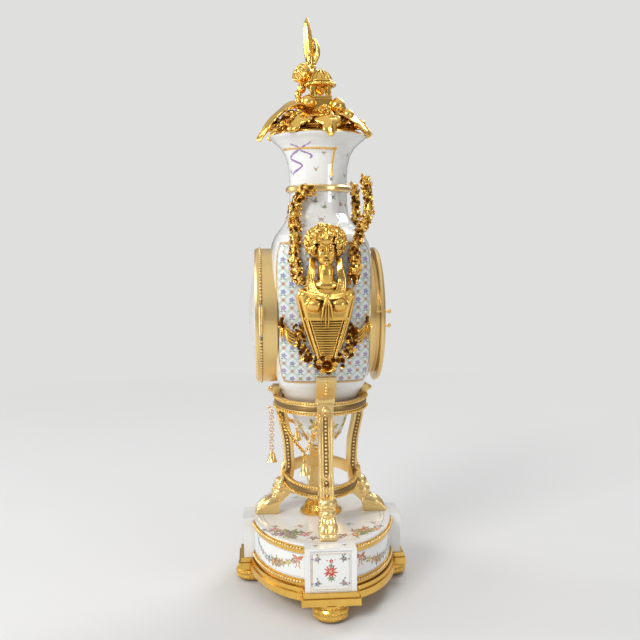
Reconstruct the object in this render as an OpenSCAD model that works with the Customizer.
// Porcelain vase clock on a four-legged gilt stand, seen along +Y.
// Origin: middle of the surface it stands on. +Z is up, the dial faces -Y.

/* [Feet and plinth] */
// Radius of a turned foot
foot_r = 16; // [12:0.5:20]
// Height of a foot
foot_h = 16.3; // [10:0.1:24]
// How far a foot stands out past its plinth block
foot_proud = 3; // [0:0.5:6]
// Height of the gilt plinth
plinth_h = 11.2; // [8:0.1:18]
// How far the plinth stands out past the porcelain
plinth_lip = 5; // [3:0.1:8]
// Height of the plinth's lower step
plinth_step_h = 6.4; // [3:0.1:7]
// How far the plinth's upper step is set back
plinth_step_in = 1.6; // [0.5:0.1:2.5]

/* [Porcelain base] */
// Half length of the oval drum along X
drum_half_x = 105; // [95:0.5:110]
// Half depth of the oval drum along Y
drum_half_y = 69; // [62:0.5:75]
// Distance from the middle to a side block's face
side_block_reach = 113; // [111:0.5:125]
// Distance from the middle to the front block's face
front_block_reach = 78.5; // [76:0.5:90]
// Width of a side block
side_block_w = 46.6; // [36:0.2:60]
// Width of the front and back blocks
front_block_w = 38; // [30:0.2:50]
// Height of the porcelain base
base_h = 39.8; // [30:0.2:50]
// Wall of the porcelain base
base_wall = 6; // [4:0.2:9]
// Width of the frame round a block's sunk panel
panel_margin = 5.2; // [3:0.1:9]
// Depth of a block's sunk panel
panel_sink = 0.9; // [0.4:0.1:1.5]
// Height of the beaded gilt band round the top of the drum
top_band_h = 6.6; // [4:0.1:9]
// Height of the beaded gilt band round the foot of the drum
foot_band_h = 7.4; // [4:0.1:10]
// Thickness of both gilt bands
band_t = 1.6; // [1:0.1:3]
// Height of white rim above the top band
band_drop = 2.2; // [1:0.1:4]
// Radius of the leafy boss in the middle of the base
boss_r = 21; // [14:0.5:26]
// Height of the leafy boss
boss_h = 14.7; // [8:0.1:20]

/* [Stand] */
// Height from the base to the top of the upper ring
stand_h = 121.7; // [110:0.5:135]
// Width of a leg
leg_w = 13.6; // [11:0.2:16]
// Thickness of a front leg
front_leg_t = 9.5; // [8.5:0.1:11]
// Thickness of a side leg
side_leg_t = 11; // [10:0.1:13]
// Distance from the middle to a side hoof's toe
side_toe_reach = 95; // [90:0.5:100]
// Distance from the middle to a front hoof's toe
front_toe_reach = 67; // [64:0.5:68]
// Length of a hoof
hoof_l = 24; // [18:0.5:26]
// Width of a hoof
hoof_w = 15.8; // [14:0.2:20]
// Height of the lower ring above the base
lower_ring_rise = 30.7; // [28:0.1:32]
// Half length of the lower ring
lower_ring_half_x = 66; // [64:0.2:68]
// Half depth of the lower ring
lower_ring_half_y = 36.8; // [35:0.2:38]
// Height of the lower ring
lower_ring_h = 11.6; // [8:0.1:13]
// Thickness of the lower ring
lower_ring_t = 3; // [2:0.1:4]
// Half length of the upper ring
upper_ring_half_x = 62; // [61:0.2:64]
// Half depth of the upper ring
upper_ring_half_y = 47; // [46.5:0.1:49]
// Height of the upper ring
upper_ring_h = 12.6; // [10:0.1:15]
// Thickness of the upper ring
upper_ring_t = 4; // [3:0.1:5]
// Height of the side legs' brackets above the upper ring
bracket_h = 28; // [24:0.5:32]
// Width of the side legs' brackets
bracket_w = 18.4; // [16:0.2:21]
// Height of the front legs' heads above the upper ring
leg_head_h = 9; // [7:0.1:11]
// Thickness of the plate that carries the vase
cradle_t = 4.5; // [3:0.1:6]
// Depth of the plate's top below the ring's top
cradle_drop = 2.5; // [1.5:0.1:4]
// Radius of the bolts through the hooves
bolt_r = 2.2; // [1.5:0.1:3]
// Radius of a rosette on a leg
rosette_r = 3.6; // [2.5:0.1:4.5]
// How far a rosette stands out of its leg
rosette_h = 5.5; // [3:0.1:7]

/* [Chains and bells] */
// Radius of a chain link's middle line
link_r = 2.15; // [1.8:0.05:2.6]
// Radius of the chain's wire
wire_r = 0.45; // [0.35:0.05:0.55]
// Links in the straight chain at the front
front_links = 14; // [6:1:14]
// Depth of a swag below the upper ring
swag_depth = 31.7; // [26:0.1:35]
// Radius of a bell's mouth
bell_r = 5.6; // [5:0.1:7]
// Height of a bell
bell_h = 13.5; // [10:0.1:16]
// Wall of a bell
bell_wall = 0.8; // [0.6:0.1:1]

/* [Vase] */
// Height of the vase from its foot to its rim
vase_h = 256.5; // [240:0.5:270]
// Half width of the vase across X
vase_half_x = 74.5; // [72:0.5:78]
// Half depth of the vase along Y
vase_half_y = 48.5; // [46:0.5:51]
// Radius of the vase's neck
neck_r = 28.5; // [26:0.5:31]
// Radius of the vase's rim
rim_r = 48; // [42:0.5:52]
// Wall of the vase
vase_wall = 5; // [3.5:0.1:6]
// Radius of the openings for the dial and the rear door
opening_r = 58.5; // [57:0.1:59]
// Height of the dial's middle above the vase's foot
dial_rise = 81.5; // [78:0.5:85]
// Height of the gilt ring round the neck above the neck's foot
neck_ring_rise = 21.2; // [9:0.1:44]
// Height of the gilt ring round the neck
neck_ring_h = 6; // [4:0.1:9]
// Radius of the bulb under the ring
bulb_r = 29; // [24:0.5:31]
// Height of the bulb
bulb_h = 47; // [40:0.5:50]
// Height of the gilt knob under the bulb
knob_h = 7; // [5:0.1:10]
// Height of the gilt cap in the vase's mouth
cap_h = 9; // [5:0.1:12]

/* [Finial] */
// Height of the finial above the cap
finial_h = 107.5; // [100:0.5:115]
// Radius of the rod that holds the finial
rod_r = 3; // [2:0.1:4]

/* [Side figures] */
// Height of a figure from its foot to its hair
figure_h = 138; // [130:0.5:145]
// Width across a figure's shoulders
figure_w = 53.5; // [46:0.5:60]
// Depth of a figure from the vase to its chest
figure_d = 20; // [16:0.5:24]
// Ribs on a figure's tapered panel
figure_ribs = 15; // [9:1:19]
// Radius of a flower garland
garland_r = 5; // [3.5:0.1:6]

/* [Dial and doors] */
// Radius of the bezel's drum
bezel_r = 66; // [65:0.1:67]
// Depth of the bezel's drum
bezel_d = 15.2; // [14:0.1:18]
// Distance from the middle to the flat seats for the bezel and the rear ring
seat_y = 43.5; // [43:0.1:44.5]
// Radius of the dial
dial_r = 56.4; // [54:0.1:56.5]
// Thickness of the dial
dial_t = 2; // [1.2:0.1:2.4]
// Thickness of the bezel's door
door_t = 5; // [4:0.1:6.5]
// Rise of the domed glass
glass_rise = 7.5; // [4:0.1:9]
// Thickness of the glass
glass_t = 1.6; // [1:0.1:2.2]
// Depth of the rear ring
rear_ring_d = 9.5; // [7:0.1:12]
// Thickness of the rear door's flange
rear_door_t = 4; // [3:0.1:5]
// Rise of the rear door's dome
rear_dome_rise = 3.5; // [3:0.1:8]
// Length of a hinge
hinge_l = 26; // [18:0.5:34]
// Radius of a hinge knuckle
knuckle_r = 2.2; // [1.9:0.1:2.5]
// Radius of a hinge pin
pin_r = 1.1; // [0.8:0.05:1.3]

/* [Movement] */
// Radius of the movement's plates
plate_r = 50.3; // [50:0.1:50.4]
// Thickness of the movement's plates
plate_t = 2.5; // [2:0.1:3]
// Distance between the movement's plates
plate_gap = 31.5; // [31:0.1:33]
// Radius of a spring barrel's drum
barrel_r = 15.5; // [12:0.1:15.8]
// Tooth module of the great wheels
great_module = 0.71; // [0.66:0.01:0.72]
// Tooth module of the centre wheel
centre_module = 0.55; // [0.52:0.01:0.57]
// Tooth module of the third wheel
third_module = 0.5; // [0.47:0.01:0.52]
// Tooth module of the motion work
motion_module = 0.5; // [0.46:0.01:0.52]
// Length of the pendulum from its pivot to its bob
pendulum_l = 90; // [80:0.5:92]
// Radius of the pendulum's bob
bob_r = 11; // [8:0.1:12]
// Radius of the strike bell
strike_bell_r = 22; // [18:0.1:22.5]
// Clearance between a turning arbor and its hole
run_gap = 0.05; // [0.02:0.01:0.08]
// Clearance between still pieces that lie side by side
seat_gap = 0.3; // [0.15:0.05:0.4]

/* [Hidden] */

// Colours
gilt = "goldenrod";
old_gilt = "darkgoldenrod";
porcelain = "ivory";
brass = "khaki";
steel = "lightslategray";

// Facets: true round pieces, ovals drawn as polygons, lofted rings, swept tubes
round_fn = 64;
oval_points = 96;
loft_points = 48;
slim_points = 20;
tube_sides = 8;
// How far a cut runs past what it cuts
over = 1;

// Lifts what follows it
module up(z) { translate([0, 0, z]) children(); }
// A round upright that stands on its place
module post(r, h) { cylinder(r = r, h = h, $fn = round_fn); }

// Heights, from the ground up
plinth_z = foot_h;
base_z = plinth_z + plinth_h;
base_top = base_z + base_h;
ring_top = base_top + stand_h;
ring_z = ring_top - upper_ring_h;
lower_ring_z = base_top + lower_ring_rise;
cradle_z = ring_top - cradle_drop - cradle_t;
vase_z = ring_top - cradle_drop;
rim_z = vase_z + vase_h;
dial_z = vase_z + dial_rise;
cap_top = rim_z + cap_h;
bulb_z = cradle_z - bulb_h;
bracket_top = ring_top + bracket_h;

// Places of the feet, one under each block
side_foot_x = side_block_reach + plinth_lip + foot_proud - foot_r;
front_foot_y = front_block_reach + plinth_lip + foot_proud - foot_r;

// Profiles as shares of radius and height
foot_shares = [[0, 0], [0.66, 0], [0.83, 0.07], [0.95, 0.18], [1, 0.34], [1, 0.66],
    [0.94, 0.76], [0.88, 0.8], [0.88, 1], [0, 1]];
boss_shares = [[0, 0], [1, 0], [1, 0.12], [0.86, 0.3], [0.78, 0.62], [0.6, 0.84], [0.3, 0.97], [0, 1]];

function shaped(shares, r, h) = [for (p = shares) [p[0] * r, p[1] * h]];
function oval(a, b, n = oval_points) = [for (i = [0:n - 1]) [a * cos(360 * i / n), b * sin(360 * i / n)]];

module turned(points) {
    rotate_extrude($fn = round_fn) polygon(points);
}

// A turned piece whose axis lies along Y; its profile's height runs toward +Y
module turned_y(points) {
    rotate([-90, 0, 0]) turned(points);
}

// A pin along Y from y0 to y1
module pin_y(r, y0, y1) {
    translate([0, y0, 0]) rotate([-90, 0, 0]) post(r, y1 - y0);
}

// Feet
module foot(x, y) {
    color(gilt) translate([x, y, 0]) turned(shaped(foot_shares, foot_r, foot_h));
}
module foot_front() { foot(0, -front_foot_y); }
module foot_back() { foot(0, front_foot_y); }
module foot_left() { foot(-side_foot_x, 0); }
module foot_right() { foot(side_foot_x, 0); }

// Outline of the base: an oval with four blocks, grown at their faces and flanks
module base_outline(lip = 0, side = 0) {
    polygon(oval(drum_half_x + lip, drum_half_y + lip));
    square([2 * (side_block_reach + lip), side_block_w + 2 * side], center = true);
    square([front_block_w + 2 * side, 2 * (front_block_reach + lip)], center = true);
}

plinth_side = 0.68 * plinth_lip;
module plinth_frame() {
    color(gilt) union() {
        up(plinth_z) linear_extrude(plinth_step_h) base_outline(plinth_lip, plinth_side);
        up(plinth_z + plinth_step_h) linear_extrude(plinth_h - plinth_step_h)
            base_outline(plinth_lip - plinth_step_in, plinth_side - plinth_step_in);
    }
}

// Places of the four hooves, where the bolts stand
side_bolt_x = side_toe_reach - 0.62 * hoof_l;
front_bolt_y = front_toe_reach - 0.62 * hoof_l;
bolt_places = [[side_bolt_x, 0], [-side_bolt_x, 0], [0, front_bolt_y], [0, -front_bolt_y]];

module base_porcelain() {
    panel_h = base_h - 2 * panel_margin;
    color(porcelain) difference() {
        up(base_z) linear_extrude(base_h) base_outline();
        up(base_z - over) linear_extrude(base_h - base_wall + over)
            polygon(oval(drum_half_x - base_wall, drum_half_y - base_wall));
        for (s = [-1, 1]) {
            translate([s * side_block_reach, 0, base_z + base_h / 2])
                cube([2 * panel_sink, side_block_w - 2 * panel_margin, panel_h], center = true);
            translate([0, s * front_block_reach, base_z + base_h / 2])
                cube([front_block_w - 2 * panel_margin, 2 * panel_sink, panel_h], center = true);
        }
        for (p = bolt_places) translate([p[0], p[1], base_top - base_wall - over])
            post(bolt_r + seat_gap, base_wall + 2 * over);
    }
}

// One gilt band round the drum between the blocks, thicker along its middle
module drum_band(z, h) {
    rib_h = h / 2;
    difference() {
        union() {
            up(z) linear_extrude(h)
                polygon(oval(drum_half_x + band_t / 2, drum_half_y + band_t / 2));
            up(z + (h - rib_h) / 2) linear_extrude(rib_h)
                polygon(oval(drum_half_x + band_t, drum_half_y + band_t));
        }
        up(z - over) linear_extrude(h + 2 * over) base_outline();
    }
}

module base_bead_bands() {
    color(gilt) {
        drum_band(base_z, foot_band_h);
        drum_band(base_top - band_drop - top_band_h, top_band_h);
    }
}

module base_boss() {
    color(gilt) up(base_top) turned(shaped(boss_shares, boss_r, boss_h));
}

nut_h = 2.2 * bolt_r;
bolt_bite = 3 * bolt_r;
module base_bolts() {
    color(steel) for (p = bolt_places) translate([p[0], p[1], base_top - base_wall - nut_h]) {
        post(bolt_r, nut_h + base_wall + bolt_bite - seat_gap);
        cylinder(r = 1.9 * bolt_r, h = nut_h, $fn = 6);
    }
}

// Stand rings
module oval_ring(a, b, t, z, h) {
    up(z) linear_extrude(h) difference() {
        polygon(oval(a, b));
        polygon(oval(a - t, b - t));
    }
}

ring_edge = 1.6;
ring_edge_proud = 0.8;
module edged_ring(a, b, t, z, h, proud = ring_edge_proud) {
    oval_ring(a - proud, b - proud, t - proud, z, h);
    oval_ring(a, b, t, z, ring_edge);
    oval_ring(a, b, t, z + h - ring_edge, ring_edge);
}

module stand_upper_ring() {
    color(gilt) edged_ring(upper_ring_half_x, upper_ring_half_y, upper_ring_t, ring_z, upper_ring_h);
}

module stand_lower_ring() {
    color(gilt) edged_ring(lower_ring_half_x, lower_ring_half_y, lower_ring_t, lower_ring_z, lower_ring_h);
}

// Cuts that leave room for the two rings in the legs
module ring_slots() {
    g = seat_gap / 2;
    oval_ring(upper_ring_half_x + g, upper_ring_half_y + g, upper_ring_t + 2 * g,
        ring_z - g, upper_ring_h + 2 * g);
    oval_ring(lower_ring_half_x + g, lower_ring_half_y + g, lower_ring_t + 2 * g,
        lower_ring_z - g, lower_ring_h + 2 * g);
}

// Side view of a leg, [reach, height], down the outside and up the inside
ledge_h = lower_ring_rise + 1.256 * lower_ring_h;
knee_h = ledge_h + 0.724 * lower_ring_h;
function leg_outline(top, knee, ledge, toe, t) = [
    [top, stand_h],
    [top + 0.48 * (knee - top), 0.8 * stand_h],
    [top + 0.91 * (knee - top), 0.606 * stand_h],
    [knee, knee_h],
    [knee, ledge_h],
    [ledge, ledge_h],
    [ledge + 0.05 * (toe - ledge), 0.235 * stand_h],
    [ledge + 0.14 * (toe - ledge), 0.165 * stand_h],
    [ledge + 0.34 * (toe - ledge), 0.125 * stand_h],
    [toe - hoof_l, 0.07 * stand_h],
    [ledge - 0.9 * t, 0.165 * stand_h],
    [ledge - 1.1 * t, 0.25 * stand_h],
    [knee - t, ledge_h],
    [knee - t, knee_h],
    [top + 0.91 * (knee - top) - t, 0.606 * stand_h],
    [top + 0.48 * (knee - top) - t, 0.8 * stand_h],
    [top - 0.94 * t, stand_h]
];
function hoof_outline(ledge, toe) = [
    [toe, 0],
    [toe - 0.02 * hoof_l, 0.014 * stand_h],
    [toe - 0.3 * hoof_l, 0.075 * stand_h],
    [toe - 0.62 * hoof_l, 0.13 * stand_h],
    [toe - 0.84 * hoof_l, 0.14 * stand_h],
    [toe - 1.04 * hoof_l, 0.105 * stand_h],
    [toe - hoof_l, 0]
];

// A plate in the X-Z plane, w wide across Y
module upright(points, w) {
    rotate([90, 0, 0]) up(-w / 2) linear_extrude(w) polygon(points);
}

module leg(top, knee, ledge, toe, t) {
    up(base_top) difference() {
        union() {
            upright(leg_outline(top, knee, ledge, toe, t), leg_w);
            upright(hoof_outline(ledge, toe), hoof_w);
            children();
        }
        translate([toe - 0.62 * hoof_l, 0, -over])
            post(bolt_r + run_gap, bolt_bite + over);
    }
}

front_leg_top = upper_ring_half_y + 0.01 * upper_ring_half_y;
front_leg_knee = lower_ring_half_y - 0.02 * lower_ring_half_y;
front_leg_ledge = lower_ring_half_y + 0.07 * lower_ring_half_y;
head_t = 0.72 * front_leg_t;
module front_leg(turn) {
    color(gilt) difference() {
        rotate([0, 0, turn])
            leg(front_leg_top, front_leg_knee, front_leg_ledge, front_toe_reach, front_leg_t)
                translate([front_leg_top - head_t, -leg_w / 2, stand_h])
                    cube([head_t, leg_w, leg_head_h]);
        ring_slots();
    }
}
// The front leg also holds the straight chain's hook, a pin with a ball
module leg_front() {
    hook_end = front_hook[1] - link_r;
    color(gilt) union() {
        front_leg(-90);
        up(front_hook[2]) {
            pin_y(wire_r, hook_end, -(front_leg_top - 0.5 * front_leg_t));
            translate([0, hook_end, 0]) sphere(r = 2 * wire_r, $fn = slim_points);
        }
    }
}
module leg_back() { front_leg(90); }

side_leg_top = upper_ring_half_x + 0.065 * upper_ring_half_x;
side_leg_knee = lower_ring_half_x + 0.09 * lower_ring_half_x;
side_leg_ledge = lower_ring_half_x + 0.16 * lower_ring_half_x;
bracket_t = 0.9 * side_leg_t;
figure_back = vase_half_x + seat_gap;
// The bracket swings out from the ring to stand under the figure
bracket_outline = [
    [side_leg_top, 0],
    [side_leg_top + 0.1 * bracket_t, 0.18 * bracket_h],
    [figure_back + 0.45 * bracket_t, 0.62 * bracket_h],
    [figure_back + bracket_t, 0.86 * bracket_h],
    [figure_back + bracket_t, bracket_h],
    [figure_back, bracket_h],
    [figure_back - 0.1 * bracket_t, 0.9 * bracket_h],
    [figure_back - 0.5 * bracket_t, 0.62 * bracket_h],
    [side_leg_top - 0.8 * bracket_t, 0.18 * bracket_h],
    [side_leg_top - 0.94 * side_leg_t, 0]
];
ring_block_w = 1.15 * leg_w;
ring_block_t = 0.55 * side_leg_t;
ring_block_proud = 0.1 * side_leg_t;
module side_leg(turn) {
    color(gilt) difference() {
        rotate([0, 0, turn])
            leg(side_leg_top, side_leg_knee, side_leg_ledge, side_toe_reach, side_leg_t) union() {
                up(stand_h) upright(bracket_outline, bracket_w);
                translate([side_leg_top - ring_block_t + ring_block_proud, -ring_block_w / 2,
                    stand_h - upper_ring_h]) cube([ring_block_t, ring_block_w, upper_ring_h]);
            }
        ring_slots();
    }
}
module leg_right() { side_leg(0); }
module leg_left() { side_leg(180); }

// Rosettes on the heads of the legs
rosette_shares = [[0, 0], [1, 0], [1, 0.28], [0.72, 0.42], [0.72, 0.6], [0.42, 0.86], [0, 1]];
side_rosette_x = side_leg_top + ring_block_proud;
side_rosette_z = ring_z + 0.55 * upper_ring_h;
front_rosette_z = ring_top + 0.5 * leg_head_h;
module rosette() {
    rotate([0, 90, 0]) turned(shaped(rosette_shares, rosette_r, rosette_h));
}
module leg_rosettes() {
    color(old_gilt) {
        for (s = [0, 180]) rotate([0, 0, s]) translate([side_rosette_x, 0, side_rosette_z]) rosette();
        for (s = [90, -90]) rotate([0, 0, s]) translate([front_leg_top, 0, front_rosette_z]) rosette();
    }
}

// The plate that carries the vase, notched for the legs
module body_cradle() {
    g = seat_gap / 2;
    a = upper_ring_half_x - upper_ring_t - g;
    b = upper_ring_half_y - upper_ring_t - g;
    notch = leg_w + 2 * g;
    color(gilt) difference() {
        up(cradle_z) linear_extrude(cradle_t) polygon(oval(a, b));
        for (s = [0, 180]) rotate([0, 0, s])
            translate([side_leg_top - 1.3 * side_leg_t, -ring_block_w / 2 - g, cradle_z - over])
                cube([side_leg_top, ring_block_w + 2 * g, cradle_t + 2 * over]);
        for (s = [90, -90]) rotate([0, 0, s])
            translate([front_leg_top - 1.3 * front_leg_t, -notch / 2, cradle_z - over])
                cube([front_leg_top, notch, cradle_t + 2 * over]);
        up(cradle_z - over)
            post(stem_r + seat_gap, cradle_t + 2 * over);
    }
}

// Chains: wire links, each turned a quarter
link_pitch = 2 * (link_r - wire_r) - 0.8 * wire_r;
quarter = 90;

// A link whose plane holds the direction d, rolled about it
module link_at(p, d, roll) {
    translate(p) rotate([0, 0, atan2(d[1], d[0])])
        rotate([0, -atan2(d[2], norm([d[0], d[1]])), 0]) rotate([roll, 0, 0])
            rotate_extrude($fn = slim_points) translate([link_r, 0]) circle(r = wire_r, $fn = slim_points);
}

// Straight chain from the front leg's hook
front_hook = [0, -(front_leg_top + 0.3 * rosette_h), ring_z - link_r];
hook_to_link = link_r - 2.3 * wire_r;
module chain_front() {
    color(old_gilt) for (i = [0:front_links - 1])
        link_at(front_hook - [0, 0, hook_to_link + i * link_pitch], [0, 0, -1], quarter * ((i + 1) % 2));
}

// Bell: a thin shell, a crown and a loop for the chain
bell_shares = [[1, 0], [0.93, 0.05], [0.72, 0.28], [0.6, 0.55], [0.5, 0.78], [0.26, 0.94], [0, 1]];
bell_body_h = 0.8 * bell_h;
bell_inside = [for (i = [len(bell_shares) - 1:-1:0])
    [max(0, bell_shares[i][0] * bell_r - bell_wall), bell_shares[i][1] * (bell_body_h - bell_wall)]];
bell_loop_r = 3 * wire_r;
link_to_bell = link_r - 2.7 * wire_r;
module bell(top, turn) {
    color(gilt) translate(top - [0, 0, bell_h]) rotate([0, 0, turn]) union() {
        turned(concat(shaped(bell_shares, bell_r, bell_body_h), bell_inside));
        up(bell_body_h - bell_wall)
            cylinder(r = 2 * wire_r, h = bell_h - 2 * bell_loop_r + wire_r - bell_body_h + bell_wall,
                $fn = slim_points);
        up(bell_h - bell_loop_r) rotate([90, 0, 0])
            rotate_extrude($fn = slim_points) translate([bell_loop_r, 0])
                circle(r = wire_r, $fn = slim_points);
    }
}
front_bell_top = front_hook - [0, 0, hook_to_link + (front_links - 1) * link_pitch + link_to_bell];
module bell_front() { bell(front_bell_top, quarter * (front_links % 2)); }

// Swag from the front leg down to its bell and up to the side rosette
swag_start = [0.5 * leg_w + link_r, -(front_leg_top - 0.5 * front_leg_t), ring_z - 2 * link_r];
swag_end = [side_rosette_x + rosette_h + link_r / 2, -(rosette_r + link_r), side_rosette_z - link_r];
swag_low = [lower_ring_half_x + 0.55 * side_leg_t, -0.43 * upper_ring_half_y, ring_z - swag_depth];
swag_turn = atan2(swag_low[1] - swag_start[1], swag_low[0] - swag_start[0]);
drop_links = 2;

// A half swag from its end a at t = 0 to its lowest place b at t = 1
function sag(t) = t * (1.55 - 0.55 * t);
function swag_point(a, b, t) = [a[0] + (b[0] - a[0]) * t, a[1] + (b[1] - a[1]) * t,
    a[2] + (b[2] - a[2]) * sag(t)];
swag_steps = 40;
// Pairs of length along the half swag and t
function swag_table(a, b) = [for (i = 0, s = 0; i <= swag_steps;
    s = s + norm(swag_point(a, b, (i + 1) / swag_steps) - swag_point(a, b, i / swag_steps)), i = i + 1)
    [s, i / swag_steps]];

module half_swag(a, b) {
    table = swag_table(a, b);
    length = table[swag_steps][0];
    count = ceil(length / link_pitch - 0.5);
    pitch = length / (count + 0.5);
    for (i = [0:count - 1]) {
        t = lookup((i + 0.5) * pitch, table);
        link_at(swag_point(a, b, t), swag_point(a, b, t + 1 / swag_steps) - swag_point(a, b, t),
            quarter * ((count - 1 - i) % 2));
    }
}

module swag_chain() {
    color(old_gilt) {
        half_swag(swag_start, swag_low);
        half_swag(swag_end, swag_low);
        translate(swag_low) rotate([0, 0, swag_turn]) {
            link_at([0, 0, 0], [1, 0, 0], quarter);
            for (i = [1:drop_links])
                link_at([0, 0, -i * link_pitch], [0, 0, -1], quarter * ((i + 1) % 2));
        }
    }
}

// The bell on the last link of a swag's drop
module swag_bell() {
    bell(swag_low - [0, 0, drop_links * link_pitch + link_to_bell],
        swag_turn + quarter * ((drop_links + 1) % 2));
}
module swag_chain_right() { swag_chain(); }
module swag_chain_left() { mirror([1, 0, 0]) swag_chain(); }
module bell_right() { swag_bell(); }
module bell_left() { mirror([1, 0, 0]) swag_bell(); }

// Lofted shells: a ring is [height, half x, half y, exponent, centre x]
function oval_power(v, n) = sign(v) * pow(abs(v), 2 / n);
function ring_centre(ring) = len(ring) > 4 ? ring[4] : 0;
function loft_ring(ring, m) = [for (i = [0:m - 1]) [
    ring_centre(ring) + ring[1] * oval_power(cos(360 * i / m), ring[3]),
    ring[2] * oval_power(sin(360 * i / m), ring[3]),
    ring[0]]];
// Triangles that join rings of m points and close both ends
function loft_faces(count, m) = concat(
    [for (k = [0:count - 2]) for (i = [0:m - 1]) each [
        [k * m + i, (k + 1) * m + i, k * m + (i + 1) % m],
        [(k + 1) * m + i, (k + 1) * m + (i + 1) % m, k * m + (i + 1) % m]]],
    [[for (i = [0:m - 1]) i]],
    [[for (i = [m - 1:-1:0]) (count - 1) * m + i]]);
module loft(rings, m) {
    polyhedron([for (ring = rings) each loft_ring(ring, m)], loft_faces(len(rings), m));
}

// The vase: shares of its height, half width and half depth, and exponent
vase_shares = [
    [0, 0.64, 0.755, 2.3], [0.012, 0.672, 0.777, 2.4], [0.036, 0.73, 0.818, 2.8],
    [0.068, 0.812, 0.895, 3.4], [0.11, 0.882, 0.952, 4.2], [0.17, 0.935, 0.982, 4.8],
    [0.25, 0.965, 0.995, 5], [0.33, 0.985, 1, 5], [0.42, 0.998, 1, 5], [0.5, 1, 0.996, 4.8],
    [0.555, 0.985, 0.985, 4.4], [0.595, 0.93, 0.95, 3.8], [0.624, 0.835, 0.885, 3.2],
    [0.648, 0.685, 0.79, 2.7], [0.672, 0.52, 0.695, 2.3]
];
// The neck: share of height, and of the way from its radius to the rim's
neck_shares = [[0.705, 0.06], [0.745, 0], [0.84, 0], [0.885, 0.04], [0.925, 0.17], [0.955, 0.4],
    [0.978, 0.72], [0.99, 0.94], [0.996, 1]];
function neck_radius(share) = neck_r + share * (rim_r - neck_r);
vase_outside = concat(
    [for (v = vase_shares) [vase_z + v[0] * vase_h, v[1] * vase_half_x, v[2] * vase_half_y, v[3]]],
    [for (v = neck_shares) [vase_z + v[0] * vase_h, neck_radius(v[1]), neck_radius(v[1]), 2]]);
lip_in = 0.25 * vase_wall;
vase_rim = [[rim_z, rim_r - lip_in, rim_r - lip_in, 2], [rim_z, rim_r - vase_wall, rim_r - vase_wall, 2]];
inner_front = seat_y - 0.7 * vase_wall;
vase_inside = [for (i = [len(vase_outside) - 2:-1:0]) let (v = vase_outside[i])
    [max(v[0], vase_z + vase_wall + 0.01 * v[0]), v[1] - vase_wall, min(v[2] - vase_wall, inner_front),
        v[3]]];
// Half width, half depth and exponent of the vase at a height
function vase_x_at(z) = lookup(z, [for (v = vase_outside) [v[0], v[1]]]);
function vase_y_at(z) = lookup(z, [for (v = vase_outside) [v[0], v[2]]]);
function vase_n_at(z) = lookup(z, [for (v = vase_outside) [v[0], v[3]]]);
// How far out the vase's side is at a place y and a height
function vase_side(y, z) = vase_x_at(z)
    * pow(1 - pow(min(0.999, abs(y) / vase_y_at(z)), vase_n_at(z)), 1 / vase_n_at(z));

seat_r = bezel_r + seat_gap;
stem_r = rod_r;
module vase_body() {
    color(porcelain) difference() {
        loft(concat(vase_outside, vase_rim, vase_inside), loft_points);
        up(dial_z) {
            pin_y(opening_r, -vase_half_y - over, vase_half_y + over);
            pin_y(seat_r, -vase_half_y - over, -seat_y);
            pin_y(seat_r, seat_y, vase_half_y + over);
        }
        up(vase_z - over)
            post(3 * stem_r, vase_wall + over + 2 * stem_r);
    }
}

// Bulb under the plate, bored for the knob's stem
bulb_shares = [[0, 1], [1, 1], [1, 0.9], [0.955, 0.66], [0.85, 0.46], [0.71, 0.27], [0.48, 0.11],
    [0.26, 0.02], [0.2, 0], [0, 0]];
module lower_bulb() {
    color(porcelain) up(bulb_z) difference() {
        turned(shaped(bulb_shares, bulb_r, bulb_h));
        up(-over) post(stem_r + seat_gap, bulb_h + 2 * over);
    }
}

knob_shares = [[0, 0], [0.45, 0.06], [0.8, 0.3], [0.86, 0.5], [0.6, 0.74], [1, 0.84], [1, 1], [0, 1]];
module bulb_knob() {
    knob_r = 0.3 * bulb_r;
    color(gilt) union() {
        up(bulb_z - knob_h) turned(shaped(knob_shares, knob_r, knob_h));
        up(bulb_z - knob_h / 2)
            post(stem_r, knob_h / 2 + bulb_h + cradle_t + stem_r);
        up(vase_z) cylinder(r = 2 * stem_r, h = stem_r, $fn = 6);
    }
}

// Gilt ring round the neck
neck_ring_z = vase_z + neck_shares[0][0] * vase_h + neck_ring_rise;
module neck_ring() {
    inner = max(vase_x_at(neck_ring_z), vase_x_at(neck_ring_z + neck_ring_h)) + seat_gap / 2;
    bulge = 0.55 * neck_ring_h;
    color(gilt) up(neck_ring_z) turned([[inner, 0], [inner + bulge / 2, 0],
        [inner + bulge, 0.25 * neck_ring_h], [inner + bulge, 0.75 * neck_ring_h],
        [inner + bulge / 2, neck_ring_h], [inner, neck_ring_h]]);
}

// Gilt cap: a plug inside the rim under a leafy mound
cap_r = rim_r - 0.75 * vase_wall;
plug_h = 0.45 * cap_h;
module lid_cap() {
    plug_low = neck_radius(0.94) - vase_wall - seat_gap;
    color(old_gilt) difference() {
        up(rim_z) turned([[0, -plug_h / 4], [0.6 * plug_low, -plug_h / 4],
            [0.9 * plug_low, -plug_h / 4], [plug_low, 0], [cap_r, 0], [cap_r, 0.2 * cap_h],
            [0.86 * cap_r, 0.5 * cap_h], [0.6 * cap_r, 0.9 * cap_h], [0.4 * cap_r, cap_h], [0, cap_h]]);
        up(rim_z - cap_h) post(rod_r + run_gap, 3 * cap_h);
    }
}

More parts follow.
